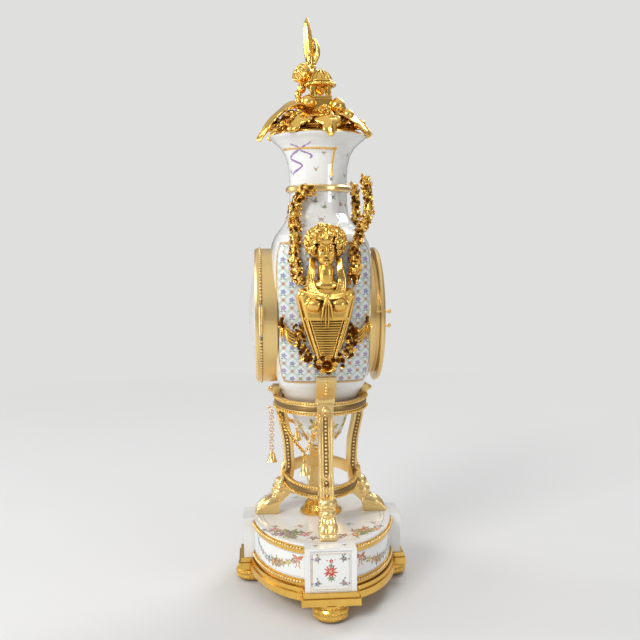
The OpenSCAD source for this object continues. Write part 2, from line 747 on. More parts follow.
// Rod that draws the finial down, its crossbar and nut
bar_z = vase_z + 0.7 * vase_h;
bar_t = 2 * rod_r;
module finial_fixings() {
    bar_half = neck_r - vase_wall - seat_gap;
    color(steel) union() {
        up(bar_z - bar_t) post(rod_r, cap_top + bar_t - bar_z + rod_r);
        translate([-bar_half, -rod_r * 1.5, bar_z]) cube([2 * bar_half, 3 * rod_r, bar_t]);
        up(bar_z - 1.5 * rod_r) cylinder(r = 2 * rod_r, h = 1.5 * rod_r, $fn = 6);
    }
}

// Swept tubes: rings across a path, each w wide and t thick
function unit(v) = v / norm(v);
function direction(path, i) = unit(path[min(i + 1, len(path) - 1)] - path[max(i - 1, 0)]);
function tube_ring(p, d, up, w, t) = let (s = unit(cross(d, up)), n = cross(s, d))
    [for (k = [0:tube_sides - 1]) p + w * cos(360 * k / tube_sides) * s + t * sin(360 * k / tube_sides) * n];
module tube(path, widths, thicknesses, up) {
    polyhedron([for (i = [0:len(path) - 1])
        each tube_ring(path[i], direction(path, i), up, widths[i], thicknesses[i])],
        [for (face = loft_faces(len(path), tube_sides)) [for (j = [len(face) - 1:-1:0]) face[j]]]);
}
// A smooth path through hand-placed points
function spline(points, steps) = let (last = len(points) - 1) concat(
    [for (i = [0:last - 1]) for (j = [0:steps - 1]) let (
        t = j / steps, a = points[max(i - 1, 0)], b = points[i], c = points[i + 1],
        d = points[min(i + 2, last)])
        0.5 * (2 * b + (c - a) * t + (2 * a - 5 * b + 4 * c - d) * t * t
            + (3 * b - a - 3 * c + d) * t * t * t)],
    [points[last]]);

// Finial: places and radii follow its height
torch_place = [-0.085 * finial_h, 0];
torch_r = 0.04 * finial_h;
hat_place = [0.115 * finial_h, 0.023 * finial_h];
hat_r = 0.115 * finial_h;
hat_core_r = 0.072 * finial_h;
quiver_r = 0.09 * finial_h;
quiver_l = 0.3 * finial_h;
// Flame: share of height, half widths across Y and X, exponent, middle along Y
flame_shares = [[0.5, 0.036, 0.036, 2, -0.02], [0.545, 0.055, 0.045, 2, -0.07],
    [0.61, 0.074, 0.05, 2, -0.04], [0.68, 0.07, 0.048, 2, -0.025], [0.77, 0.058, 0.04, 2, -0.035],
    [0.86, 0.042, 0.03, 2, -0.042], [0.94, 0.024, 0.018, 2, -0.05], [1, 0.004, 0.004, 2, -0.055]];

module quiver(grow = 0) {
    translate([-0.02 * finial_h, -0.14 * finial_h, cap_top + 0.46 * finial_h]) rotate([32, 0, 0])
        up(-quiver_l) cylinder(r1 = 0.6 * quiver_r + grow, r2 = quiver_r + grow,
            h = quiver_l + grow, $fn = round_fn);
}

module torch_core(grow = 0) {
    translate([torch_place[0], torch_place[1], cap_top])
        cylinder(r1 = 0.8 * torch_r + grow, r2 = 1.2 * torch_r + grow, h = 0.56 * finial_h, $fn = round_fn);
}

module finial_torch() {
    color(gilt) union() {
        torch_core();
        quiver();
        up(cap_top) rotate([0, 0, 90]) loft([for (f = flame_shares)
            [f[0] * finial_h, f[1] * finial_h, f[2] * finial_h, f[3], f[4] * finial_h]], slim_points);
    }
}

module hat_core(grow = 0) {
    translate([hat_place[0], hat_place[1], cap_top])
        post(hat_core_r + grow, 0.36 * finial_h);
}

hat_shares = [[0, 0], [1, 0], [1.04, 0.08], [0.98, 0.16], [0.93, 0.4], [0.78, 0.66], [0.5, 0.88],
    [0.2, 0.98], [0, 1]];
module finial_hat() {
    hat_z = cap_top + 0.345 * finial_h;
    color(gilt) difference() {
        union() {
            hat_core();
            translate([hat_place[0], hat_place[1], hat_z]) turned(shaped(hat_shares, hat_r, 1.25 * hat_r));
        }
        quiver(seat_gap);
        torch_core(seat_gap);
    }
}

// Fruits and flower heads: X, Y, height and radius
fruit_shares = [[0.1, 0.2, 0.2, 0.075], [-0.04, 0.24, 0.19, 0.07], [-0.16, 0.14, 0.17, 0.07],
    [0.22, 0.06, 0.13, 0.055], [0.17, -0.08, 0.15, 0.06], [0.12, -0.2, 0.12, 0.065],
    [0, -0.26, 0.13, 0.07], [-0.12, -0.16, 0.16, 0.07], [-0.2, -0.02, 0.13, 0.065],
    [0.18, 0.24, 0.06, 0.06], [0.24, -0.16, 0.05, 0.055], [-0.02, 0.3, 0.07, 0.06],
    [-0.22, 0.18, 0.05, 0.06], [-0.22, -0.18, 0.05, 0.06]];
// Leaves: the points of each midrib, and its half width
front_leaf_shares = [[0.06, -0.14, 0.22], [0.06, -0.24, 0.26], [0.05, -0.34, 0.2], [0.04, -0.43, 0.08],
    [0.03, -0.52, -0.06], [0.02, -0.56, -0.15]];
rear_leaf_shares = [[0.05, 0.22, 0.1], [0.06, 0.32, 0.1], [0.06, 0.4, 0.04], [0.05, 0.475, -0.05]];
side_leaf_shares = [[0.2, 0.08, 0.1], [0.3, 0.1, 0.09], [0.4, 0.11, 0.02], [0.475, 0.12, -0.08]];
leaf_w_share = 0.06;
leaf_t_share = 0.018;
leaf_steps = 3;
// How far the leaves and fruits spread, as far as the rim asks
spread = 2.24 * rim_r;

module leaf(shares) {
    path = [for (p = spline(shares, leaf_steps)) [p[0] * spread, p[1] * spread, cap_top + p[2] * finial_h]];
    last = len(path) - 1;
    swell = [for (i = [0:last]) 0.12 + sin(180 * (0.08 + 0.9 * i / last))];
    tube(path, finial_h * leaf_w_share * swell, finial_h * leaf_t_share * swell, [0, 0, 1]);
}

mound_shares = [[0, 0], [0.36, 0], [0.34, 0.07], [0.27, 0.16], [0.18, 0.22], [0, 0.24]];
module finial_flowers() {
    color(old_gilt) difference() {
        union() {
            up(cap_top) turned(shaped(mound_shares, spread, finial_h));
            for (f = fruit_shares) translate([f[0] * spread, f[1] * spread, cap_top + f[2] * finial_h])
                sphere(r = f[3] * finial_h, $fn = round_fn);
            leaf(front_leaf_shares);
            leaf(rear_leaf_shares);
            leaf(side_leaf_shares);
            mirror([1, 0, 0]) leaf(side_leaf_shares);
        }
        hat_core(seat_gap);
        torch_core(seat_gap);
        quiver(seat_gap);
        up(rim_z - cap_h) post(rod_r + seat_gap, 2 * cap_h + 2 * rod_r);
        difference() {
            up(rim_z - finial_h / 2) post(rim_r + seat_gap, finial_h / 2 + cap_h + seat_gap);
            up(cap_top) post(2 * rim_r, finial_h);
        }
    }
}

// Side figures: a bust on a ribbed, tapered pillar
bust_shares = [[0.35, 0.42, 0.37, 3], [0.4, 0.43, 0.385, 2.8], [0.435, 0.45, 0.402, 2.6],
    [0.493, 0.5, 0.449, 2.6], [0.529, 0.485, 0.492, 2.6], [0.558, 0.42, 0.49, 2.4],
    [0.587, 0.36, 0.4, 2.2], [0.609, 0.3, 0.2, 2.2], [0.63, 0.29, 0.152, 2], [0.681, 0.32, 0.15, 2],
    [0.71, 0.44, 0.165, 2], [0.732, 0.5, 0.2, 2.1], [0.775, 0.545, 0.225, 2.1],
    [0.826, 0.565, 0.232, 2.1], [0.877, 0.56, 0.23, 2.1], [0.928, 0.5, 0.2, 2], [0.971, 0.36, 0.14, 2],
    [0.99, 0.14, 0.06, 2]];
pillar_foot_share = 0.1;
pillar_top_share = 0.362;
pillar_foot_w = 1.12 * bracket_w;
pillar_top_w = 0.766 * figure_w;
pillar_t = 0.62 * figure_d;
panel_t = 0.08 * figure_d;
// Hair down each side: shares of depth, of width and of height
curl_shares = [[0.5, 0.05, 0.955], [0.45, 0.15, 0.965], [0.5, 0.24, 0.93], [0.5, 0.31, 0.885],
    [0.5, 0.335, 0.835], [0.5, 0.33, 0.785], [0.47, 0.31, 0.735], [0.46, 0.29, 0.69],
    [0.5, 0.28, 0.64], [0.62, 0.27, 0.6]];
curl_r = 0.085 * figure_w;

// Pillar: narrow at its foot, wide under the bust
module pillar(share, t) {
    foot_z = pillar_foot_share * figure_h;
    top_z = pillar_top_share * figure_h;
    translate([figure_back, 0, bracket_top]) rotate([90, 0, 90]) linear_extrude(t) polygon([
        [-share * pillar_foot_w / 2, foot_z + (1 - share) * pillar_foot_w / 3],
        [share * pillar_foot_w / 2, foot_z + (1 - share) * pillar_foot_w / 3],
        [share * pillar_top_w / 2, top_z - (1 - share) * pillar_foot_w / 3],
        [-share * pillar_top_w / 2, top_z - (1 - share) * pillar_foot_w / 3]]);
}

module pillar_ribs() {
    foot_z = bracket_top + (pillar_foot_share + 0.03) * figure_h;
    pitch = (pillar_top_share - pillar_foot_share - 0.06) * figure_h / figure_ribs;
    for (i = [0:figure_ribs - 1]) {
        w = pillar_foot_w + (pillar_top_w - pillar_foot_w) * (i + 0.5) / figure_ribs;
        translate([figure_back + pillar_t - 2 * panel_t, -0.36 * w, foot_z + i * pitch])
            cube([1.8 * panel_t, 0.72 * w, 0.6 * pitch]);
    }
}

module hair_lock() {
    path = [for (p = spline(curl_shares, 2))
        [figure_back + p[0] * figure_d, p[1] * figure_w, bracket_top + p[2] * figure_h]];
    swell = [for (i = [0:len(path) - 1]) curl_r * (0.86 + 0.14 * cos(180 * i))];
    tube(path, swell, swell, [1, 0.1, 0]);
}

module figure() {
    block_w = pillar_foot_w;
    color(gilt) union() {
        translate([figure_back, -block_w / 2, bracket_top])
            cube([pillar_t, block_w, (pillar_foot_share + 0.001) * figure_h]);
        difference() {
            pillar(1, pillar_t);
            translate([pillar_t - panel_t, 0, 0]) pillar(0.75, 2 * panel_t);
        }
        pillar_ribs();
        translate([figure_back, 0, bracket_top]) loft([for (b = bust_shares)
            [b[0] * figure_h, b[1] * figure_d, b[2] * figure_w, b[3], b[1] * figure_d]], slim_points);
        hair_lock();
        mirror([0, 1, 0]) hair_lock();
        translate([figure_back + pillar_t, 0, bracket_top + pillar_foot_share * figure_h / 2])
            rotate([0, 90, 0]) post(0.3 * block_w, 0.15 * figure_d);
    }
}
module figure_right() { figure(); }
module figure_left() { mirror([1, 0, 0]) figure(); }

// Flower garlands from a figure's shoulders: shares of the vase's half width, half depth
// and height, placed by hand along the shoulder of the vase
front_garland_shares = [[1.09, -0.5, 0.462], [1.075, -0.53, 0.49], [1.055, -0.586, 0.544],
    [0.89, -0.545, 0.634], [0.64, -0.53, 0.684], [0.42, -0.5, 0.715], [0.41, -0.45, 0.75],
    [0.49, -0.32, 0.7875], [0.522, -0.165, 0.7856]];
rear_garland_shares = [[1.09, 0.5, 0.462], [1.075, 0.589, 0.505], [1.046, 0.548, 0.56],
    [0.92, 0.668, 0.618], [0.77, 0.794, 0.661], [0.68, 0.897, 0.7115], [0.65, 0.876, 0.77],
    [0.62, 0.841, 0.825]];
garland_steps = 4;
module strand(shares) {
    path = [for (p = spline(shares, garland_steps))
        [p[0] * vase_half_x, p[1] * vase_half_y, vase_z + p[2] * vase_h]];
    last = len(path) - 1;
    swell = [for (i = [0:last]) garland_r * (0.8 + 0.2 * cos(180 * i)) * (i == 0 || i == last ? 0.4 : 1)];
    tube(path, swell, swell, [1, 0.1, 0]);
}
module garland() {
    color(old_gilt) {
        strand(front_garland_shares);
        strand(rear_garland_shares);
    }
}
module garland_right() { garland(); }
module garland_left() { mirror([1, 0, 0]) garland(); }

// Drapery on the vase's sides, down toward the figure
drape_r = 0.5 * garland_r;
drape_steps = 8;
// Shares of the vase's half depth and height at the drapery's two ends
drape_from = [0.76, 0.318];
drape_to = [0.56, 0.236];
function drape_point(t, side) = let (
    y = side * vase_half_y * (drape_from[0] + (drape_to[0] - drape_from[0]) * t),
    z = vase_z + vase_h * (drape_from[1] + (drape_to[1] - drape_from[1]) * t - 0.02 * sin(180 * t)),
    x = vase_side(y, z), n = vase_n_at(z), a = vase_x_at(z), b = vase_y_at(z),
    normal = unit([pow(x / a, n - 1) / a, side * pow(abs(y) / b, n - 1) / b, 0]))
    [x, y, z] + (1.12 * drape_r + seat_gap) * normal;
module drape(side) {
    path = [for (i = [0:drape_steps]) drape_point(i / drape_steps, side)];
    swell = [for (i = [0:drape_steps]) drape_r * (0.35 + 0.65 * sin(180 * (0.1 + 0.8 * i / drape_steps)))];
    tube(path, swell, swell, [1, 0.1, 0]);
}
module body_swags() {
    color(old_gilt) for (side = [-1, 1]) {
        drape(side);
        mirror([1, 0, 0]) drape(side);
    }
}

// Depths of the dial, doors and plates, front to back
plate_front = -seat_y;
plate_face = plate_front - plate_t;
plate_inner = plate_front + plate_gap;
plate_rear = plate_inner + plate_t;
housing_front = -(seat_y + bezel_d);
sleeve_back = -(seat_y - 1.5 * vase_wall);
dial_back = plate_front - 3.4 * plate_t;
dial_front = dial_back - dial_t;
door_back = housing_front - seat_gap;
door_front = door_back - door_t;
sleeve_r = opening_r - seat_gap;
sleeve_bore_r = plate_r + seat_gap;
strap_x = (sleeve_r + sleeve_bore_r) / 2;
strap_r = 0.2 * (sleeve_r - sleeve_bore_r);
strap_head_r = 1.6 * strap_r;
strap_head_h = strap_r;
hinge_x = bezel_r + 1.3 * knuckle_r;
hinge_y = door_back + run_gap;
rear_ring_back = seat_y + rear_ring_d;
rear_door_front = rear_ring_back + seat_gap;
rear_hinge_y = rear_door_front - run_gap;

// Hinge knuckles round an upright pin
module knuckles(x, y, low, high, tab_in, tab_y) {
    difference() {
        union() {
            translate([x, y, low]) post(knuckle_r, high - low);
            translate([min(x, tab_in), min(tab_y[0], tab_y[1]), low])
                cube([abs(x - tab_in), abs(tab_y[1] - tab_y[0]), high - low]);
        }
        translate([x, y, low - over]) post(pin_r + run_gap, high - low + 2 * over);
    }
}
hinge_third = hinge_l / 3;
module outer_knuckles(x, y, tab_in, tab_y) {
    for (s = [-1, 1]) knuckles(x, y, min(s * hinge_l / 2, s * hinge_third / 2),
        max(s * hinge_l / 2, s * hinge_third / 2), tab_in, tab_y);
}
module middle_knuckle(x, y, tab_in, tab_y) {
    knuckles(x, y, -hinge_third / 2 + seat_gap, hinge_third / 2 - seat_gap, tab_in, tab_y);
}

// Holes for the two straps, sunk for their heads
module strap_holes(face, s) {
    for (side = [-1, 1]) translate([side * strap_x, 0, 0]) {
        pin_y(strap_r + run_gap, -vase_half_y - bezel_d, vase_half_y + bezel_d);
        pin_y(strap_head_r + seat_gap, min(face, face - s * (strap_head_h + seat_gap)) - (s < 0 ? over : 0),
            max(face, face - s * (strap_head_h + seat_gap)) + (s > 0 ? over : 0));
    }
}

module bezel_housing() {
    bore = dial_r + seat_gap / 2;
    bevel = 0.1 * bezel_d;
    color(gilt) up(dial_z) union() {
        difference() {
            turned_y([[sleeve_bore_r, dial_back], [bore, dial_back], [bore, housing_front],
                [bezel_r - bevel, housing_front], [bezel_r, housing_front + bevel], [bezel_r, -seat_y],
                [sleeve_r, -seat_y], [sleeve_r, sleeve_back], [sleeve_bore_r, sleeve_back]]);
            strap_holes(dial_back, -1);
        }
        difference() {
            outer_knuckles(hinge_x, hinge_y, bezel_r - knuckle_r,
                [housing_front + 0.05 * knuckle_r, housing_front + 0.85 * knuckle_r]);
            pin_y((bore + bezel_r) / 2, housing_front - over, -seat_y);
        }
    }
}

door_r = bezel_r + 0.15 * knuckle_r;
glass_r = dial_r;
glass_back = door_back - 0.3 * door_t;
glass_seat = glass_back - glass_t;
module bezel_door() {
    recess = glass_r + seat_gap / 2;
    lip_r = glass_r - 0.5 * door_t;
    color(gilt) up(dial_z) union() {
        turned_y([[recess, door_back], [recess, glass_seat - run_gap], [lip_r, glass_seat - run_gap],
            [lip_r, door_front + 0.1 * door_t], [lip_r + 0.2 * door_t, door_front],
            [door_r - 0.5 * door_t, door_front], [door_r, door_front + 0.35 * door_t], [door_r, door_back]]);
        middle_knuckle(hinge_x, hinge_y, door_r - knuckle_r,
            [door_back - 0.05 * knuckle_r, door_back - 0.85 * knuckle_r]);
    }
}

// Domed glass behind the door's lip
glass_steps = 10;
module dial_glass() {
    dome_r = glass_r - 0.5 * door_t - seat_gap;
    arch = [for (i = [0:glass_steps]) [dome_r * (1 - i / glass_steps),
        -glass_rise * (1 - pow(1 - i / glass_steps, 2))]];
    color("lightcyan", 0.4) translate([0, glass_back, dial_z]) turned_y(concat(
        [[glass_r, 0], [glass_r, -glass_t], [dome_r, -glass_t]],
        [for (i = [1:glass_steps]) arch[i] - [0, glass_t]],
        [for (i = [glass_steps:-1:1]) arch[i]], [[dome_r, 0]]));
}

// Pins of the two hinges, headed at both ends
module hinge_pin(x, y) {
    head = 0.75 * knuckle_r;
    translate([x, y, dial_z]) {
        up(-hinge_l / 2 - head) post(pin_r, hinge_l + 2 * head);
        for (s = [-1, 1]) up(s * (hinge_l / 2 + head / 2))
            cylinder(r = head, h = head, center = true, $fn = round_fn);
    }
}
module hinge_pins() {
    color(brass) {
        hinge_pin(hinge_x, hinge_y);
        hinge_pin(-hinge_x, rear_hinge_y);
    }
}

// Dial: a slightly domed plate, pierced for the hands and for two winding squares
module dial() {
    color("white") up(dial_z) difference() {
        turned_y([[0, dial_back], [dial_r, dial_back], [dial_r, dial_back - 0.6 * dial_t],
            [0.97 * dial_r, dial_back - 0.8 * dial_t], [0.6 * dial_r, dial_front],
            [0, dial_front]]);
        pin_y(dial_bore_r, dial_front - over, dial_back + over);
        for (p = [going_place, strike_place]) translate([p[0], 0, p[1]])
            pin_y(winding_bore_r, dial_front - over, dial_back + over);
    }
}

// Hands: leaf-shaped, [along, across] as shares of their length
hand_shares = [[0, 0.045], [0.3, 0.03], [0.42, 0.085], [0.56, 0.09], [0.66, 0.03], [0.8, 0.045],
    [0.88, 0.02], [1, 0.004]];
function hand_outline(l) = concat([for (h = hand_shares) [h[0] * l, h[1] * l]],
    [for (i = [len(hand_shares) - 1:-1:0]) [hand_shares[i][0] * l, -hand_shares[i][1] * l]]);
hour_hand_l = 0.56 * dial_r;
minute_hand_l = 0.84 * dial_r;
hand_t = 0.35 * dial_t;
shown_hour = 10;
shown_minute = 10;
minute_turn = 6 * shown_minute;
hour_turn = 30 * (shown_hour + shown_minute / 60);
hour_hand_y = dial_front - 1.2 * dial_t;
minute_hand_y = hour_hand_y - 0.9 * dial_t;
module hand_plate(l, hub, bore, y, turn) {
    up(dial_z) difference() {
        union() {
            plate_y(y, y + hand_t) difference() {
                rotate(90 - turn) polygon(hand_outline(l));
                rotate(90 - turn) translate([0.49 * l, 0]) circle(r = 0.045 * l, $fn = round_fn);
            }
            pin_y(hub, y, y + hand_t);
        }
        pin_y(bore, y - over, y + hand_t + over);
    }
}

// A plate in the X-Z plane from y0 to y1
module plate_y(y0, y1) {
    rotate([90, 0, 0]) up(-y1) linear_extrude(y1 - y0) children();
}

// Wheels and pinions, their teeth narrow enough to run freely
function teeth(n, m, root, tip, flank) = let (r = n * m / 2, a = 360 / n) [for (k = [0:n - 1])
    each [for (p = [[-flank[0], root], [-flank[1], 0], [-flank[2], tip], [flank[2], tip],
        [flank[1], 0], [flank[0], root]])
        (r + p[1] * m) * [cos(a * (k + p[0])), sin(a * (k + p[0]))]]];
wheel_flank = [0.2, 0.155, 0.05];
pinion_flank = [0.15, 0.15, 0.06];
module wheel(n, m, bore, y, t, turn) {
    plate_y(y, y + t) difference() {
        rotate(turn) polygon(teeth(n, m, -1.25, 0.85, wheel_flank));
        circle(r = bore, $fn = round_fn);
    }
}
module pinion(n, m, bore, y, t, turn) {
    plate_y(y, y + t) difference() {
        rotate(turn) polygon(teeth(n, m, -1.35, 0.75, pinion_flank));
        circle(r = bore, $fn = round_fn);
    }
}
// Turn of a wheel of n teeth that points a tooth, or a gap, in a direction
function to_tooth(dir) = dir;
function to_gap(n, dir) = dir + 180 / n;

// Counts of teeth
wheel_teeth = 60;
leaf_teeth = 10;
cannon_teeth = 12;
minute_wheel_teeth = 36;
hour_teeth = 40;
escape_teeth = 30;
gear_t = 1.5;

// Places of the arbors round the middle of the movement, [x, z]
function polar(r, a) = [r * cos(a), r * sin(a)];
train_share = (wheel_teeth + leaf_teeth) / 2;
going_angle = -40;
strike_angle = 180 - going_angle;
going_place = polar(train_share * great_module, going_angle);
strike_place = polar(train_share * great_module, strike_angle);
third_angle = 60;
third_place = polar(train_share * centre_module, third_angle);
escape_angle = 131.5;
escape_place = third_place + polar(train_share * third_module, escape_angle);
anchor_rise = 0.243 * plate_r;
anchor_place = escape_place + [0, anchor_rise];
motion_distance = (cannon_teeth + minute_wheel_teeth) / 2 * motion_module;
hour_module = 2 * motion_distance / (leaf_teeth + hour_teeth);
minute_wheel_place = [0, motion_distance];
bell_place = plate_r * [0.32, 0.08];

// Radii of the arbors and pipes
arbor_r = 0.02 * plate_r;
winding_r = 2.2 * arbor_r;
cannon_r = 1.6 * arbor_r;
hour_pipe_r = 2.6 * arbor_r;
stud_r = 1.6 * arbor_r;
hammer_place = bell_place + polar(strike_bell_r + 2.2 * stud_r, -29);
dial_bore_r = hour_pipe_r + 2 * seat_gap;
winding_bore_r = 1.5 * winding_r;
pillar_r = 0.05 * plate_r;
pillar_angles = [12, 62, 118, 168, 270];
pillar_place_r = 0.9 * plate_r;

// Depths of the wheels
drum_front = plate_front + 0.17 * plate_gap;
drum_back = plate_front + 0.62 * plate_gap;
going_wheel_y = drum_back + 0.3 * gear_t;
strike_wheel_y = drum_front - 1.6 * gear_t;
centre_wheel_y = plate_front + 0.83 * plate_gap;
third_wheel_y = plate_front + 0.43 * plate_gap;
escape_wheel_y = plate_front + 0.91 * plate_gap;
cannon_y = plate_face - 1.5 * gear_t;
hour_wheel_y = cannon_y - 1.6 * gear_t;

module at(place) {
    translate([place[0], 0, dial_z + place[1]]) children();
}

module front_plate() {
    color(brass) union() {
        difference() {
            up(dial_z) pin_y(plate_r, plate_face, plate_front);
            at([0, 0]) bore_y(arbor_r, plate_face, plate_front);
            at(going_place) bore_y(winding_r, plate_face, plate_front);
            at(strike_place) bore_y(winding_r, plate_face, plate_front);
            for (p = [third_place, escape_place, anchor_place])
                at(p) bore_y(arbor_r, plate_face, plate_front);
        }
        for (a = pillar_angles) at(polar(pillar_place_r, a)) pin_y(pillar_r, plate_front, plate_inner);
        at(minute_wheel_place) pin_y(arbor_r, hour_wheel_y - gear_t / 2, plate_face);
    }
}

// A running hole for an arbor
module bore_y(r, y0, y1) {
    pin_y(r + run_gap, y0 - over, y1 + over);
}

// Back plate with the hammer's stud and the cock that the pendulum hangs from
cock_back = plate_rear + 5.6 * plate_t;
rod_front = plate_rear + 4 * plate_t;
rod_t = 0.6 * plate_t;
module back_plate() {
    cock_z = plate_r - anchor_place[1];
    cock_w = 0.14 * plate_r;
    color(brass) union() {
        difference() {
            up(dial_z) pin_y(plate_r, plate_inner, plate_rear);
            for (p = [[0, 0], third_place, escape_place, anchor_place])
                at(p) bore_y(arbor_r, plate_inner, plate_rear);
            for (p = [going_place, strike_place]) at(p) bore_y(stud_r, plate_inner, plate_rear);
        }
        at(hammer_place) pin_y(stud_r, plate_rear, hammer_y + 1.5 * hammer_t);
        at(anchor_place) {
            translate([-cock_w / 2, plate_rear - over, 0.42 * cock_z])
                cube([cock_w, cock_back - plate_rear + over, 0.4 * cock_z]);
            translate([-cock_w / 2, cock_back - plate_t, -2 * arbor_r])
                cube([cock_w, plate_t, 0.5 * cock_z + 2 * arbor_r]);
            pin_y(arbor_r, rod_front - seat_gap, cock_back - plate_t / 2);
        }
    }
}

module barrel(place, wheel_y, dir) {
    color(brass) at(place) {
        pin_y(barrel_r, drum_front, drum_back);
        pin_y(0.5 * barrel_r, min(drum_front, wheel_y), max(drum_back, wheel_y + gear_t));
        wheel(wheel_teeth, great_module, stud_r, wheel_y, gear_t, to_tooth(dir));
        pin_y(winding_r, dial_front + 0.2 * dial_t, plate_inner - gear_t);
        pin_y(stud_r, plate_inner - 2 * gear_t, plate_rear - run_gap);
    }
}
module going_barrel() { barrel(going_place, going_wheel_y, going_angle + 180); }
module strike_barrel() { barrel(strike_place, strike_wheel_y, strike_angle + 180); }

// An arbor with a wheel and a pinion, each turned to mesh
module arbor(y0, y1) {
    pin_y(arbor_r, y0, y1);
}

module centre_wheel() {
    color(brass) at([0, 0]) {
        arbor(minute_hand_y - hand_t, plate_rear);
        wheel(wheel_teeth, centre_module, arbor_r / 2, centre_wheel_y, gear_t, to_tooth(third_angle));
        pinion(leaf_teeth, great_module, arbor_r / 2, going_wheel_y - gear_t / 3, 1.7 * gear_t,
            to_gap(leaf_teeth, going_angle));
    }
}

module third_wheel() {
    color(brass) at(third_place) {
        arbor(plate_face, plate_rear);
        wheel(wheel_teeth, third_module, arbor_r / 2, third_wheel_y, gear_t, to_tooth(escape_angle));
        pinion(leaf_teeth, centre_module, arbor_r / 2, centre_wheel_y - gear_t / 3, 1.7 * gear_t,
            to_gap(leaf_teeth, third_angle + 180));
    }
}

// Escape wheel: thin pointed teeth
escape_r = 0.163 * plate_r;
escape_outline = [for (k = [0:escape_teeth - 1]) each [
    polar(0.78 * escape_r, 360 * k / escape_teeth), polar(escape_r, 360 * (k + 0.15) / escape_teeth),
    polar(0.78 * escape_r, 360 * (k + 0.5) / escape_teeth)]];
module escape_wheel() {
    color(brass) at(escape_place) {
        arbor(plate_face, plate_rear);
        plate_y(escape_wheel_y, escape_wheel_y + gear_t / 2) polygon(escape_outline);
        pinion(leaf_teeth, third_module, arbor_r / 2, third_wheel_y - gear_t / 3, 1.7 * gear_t,
            to_gap(leaf_teeth, escape_angle + 180));
    }
}

// Anchor: two arms, and the crutch that takes the pendulum's rod
anchor_shares = [[-0.12, 0.16], [-0.66, -0.3], [-0.74, -0.52], [-0.66, -0.5], [-0.52, -0.28],
    [0, 0.02], [0.52, -0.28], [0.66, -0.5], [0.74, -0.52], [0.66, -0.3], [0.12, 0.16]];
crutch_l = 1.3 * anchor_rise;
crutch_w = 3.2 * arbor_r;
module anchor() {
    crutch_y = plate_rear + 1.2 * gear_t;
    color(brass) at(anchor_place) {
        arbor(plate_face, crutch_y + gear_t / 2);
        plate_y(escape_wheel_y, escape_wheel_y + gear_t / 2) polygon(anchor_rise * anchor_shares);
        pin_y(2 * arbor_r, escape_wheel_y - gear_t, escape_wheel_y);
        translate([-crutch_w / 2, crutch_y, -crutch_l]) cube([crutch_w, gear_t / 2, crutch_l]);
        pin_y(crutch_w / 2, crutch_y, crutch_y + gear_t / 2);
        up(-crutch_l + crutch_w / 2) pin_y(0.6 * arbor_r, crutch_y, rod_front + 1.6 * rod_t);
    }
}

// Pendulum: a flat rod with an eye, a hole for the crutch's pin, and its bob
module pendulum() {
    rod_w = 4 * arbor_r;
    color(brass) at(anchor_place) {
        plate_y(rod_front, rod_front + rod_t) difference() {
            union() {
                circle(r = rod_w / 2, $fn = round_fn);
                translate([-rod_w / 2, -pendulum_l]) square([rod_w, pendulum_l]);
            }
            circle(r = arbor_r + run_gap, $fn = round_fn);
            translate([0, -crutch_l + crutch_w / 2]) circle(r = 0.6 * arbor_r + seat_gap, $fn = round_fn);
        }
        translate([0, rod_front + rod_t / 2, -pendulum_l]) turned_y([[0, -0.36 * bob_r],
            [0.6 * bob_r, -0.3 * bob_r], [bob_r, -0.08 * bob_r], [bob_r, 0.08 * bob_r],
            [0.6 * bob_r, 0.3 * bob_r], [0, 0.36 * bob_r]]);
    }
}

// Motion work behind the dial
module minute_hand() {
    color("dimgray") union() {
        hand_plate(minute_hand_l, 0.055 * dial_r, arbor_r + run_gap, minute_hand_y, minute_turn);
        at([0, 0]) {
            difference() {
                pin_y(cannon_r, minute_hand_y, cannon_y + gear_t);
                bore_y(arbor_r, minute_hand_y, cannon_y + gear_t);
            }
            pinion(cannon_teeth, motion_module, arbor_r + run_gap, cannon_y, gear_t,
                to_gap(cannon_teeth, 90));
        }
    }
}

module hour_hand() {
    color("dimgray") union() {
        hand_plate(hour_hand_l, 0.075 * dial_r, cannon_r + run_gap, hour_hand_y, hour_turn);
        at([0, 0]) {
            difference() {
                pin_y(hour_pipe_r, hour_hand_y, hour_wheel_y + gear_t);
                bore_y(cannon_r, hour_hand_y, hour_wheel_y + gear_t);
            }
            wheel(hour_teeth, hour_module, cannon_r + run_gap, hour_wheel_y, gear_t, to_tooth(90));
        }
    }
}

module minute_wheel() {
    color(brass) at(minute_wheel_place) {
        wheel(minute_wheel_teeth, motion_module, arbor_r + run_gap, cannon_y, gear_t, to_tooth(-90));
        pinion(leaf_teeth, hour_module, arbor_r + run_gap, hour_wheel_y, cannon_y - hour_wheel_y + gear_t / 2,
            to_gap(leaf_teeth, -90));
    }
}

// Strike bell on its post, mouth toward the plate
strike_bell_y = plate_rear + 8.6 * plate_t;
strike_bell_d = 0.72 * strike_bell_r;
strike_bell_wall = 0.05 * strike_bell_r;
post_r = 1.8 * arbor_r;
strike_shares = [[1, 0], [0.97, 0.2], [0.86, 0.5], [0.66, 0.78], [0.4, 0.94], [0.1, 1]];
module strike_bell() {
    inside = [for (i = [len(strike_shares) - 1:-1:0]) [strike_shares[i][0] * strike_bell_r
        - strike_bell_wall, strike_shares[i][1] * (strike_bell_d - strike_bell_wall)]];
    color("silver") at(bell_place) union() {
        translate([0, strike_bell_y, 0])
            turned_y(concat([[0, strike_bell_d]], [for (i = [len(strike_shares) - 1:-1:0])
                [strike_shares[i][0] * strike_bell_r, strike_shares[i][1] * strike_bell_d]],
                [for (i = [len(inside) - 1:-1:0]) inside[i]],
                [[0, strike_bell_d - strike_bell_wall]]));
        pin_y(post_r, plate_rear, strike_bell_y + strike_bell_d + post_r);
        pin_y(2 * post_r, strike_bell_y + strike_bell_d, strike_bell_y + strike_bell_d + post_r);
    }
}

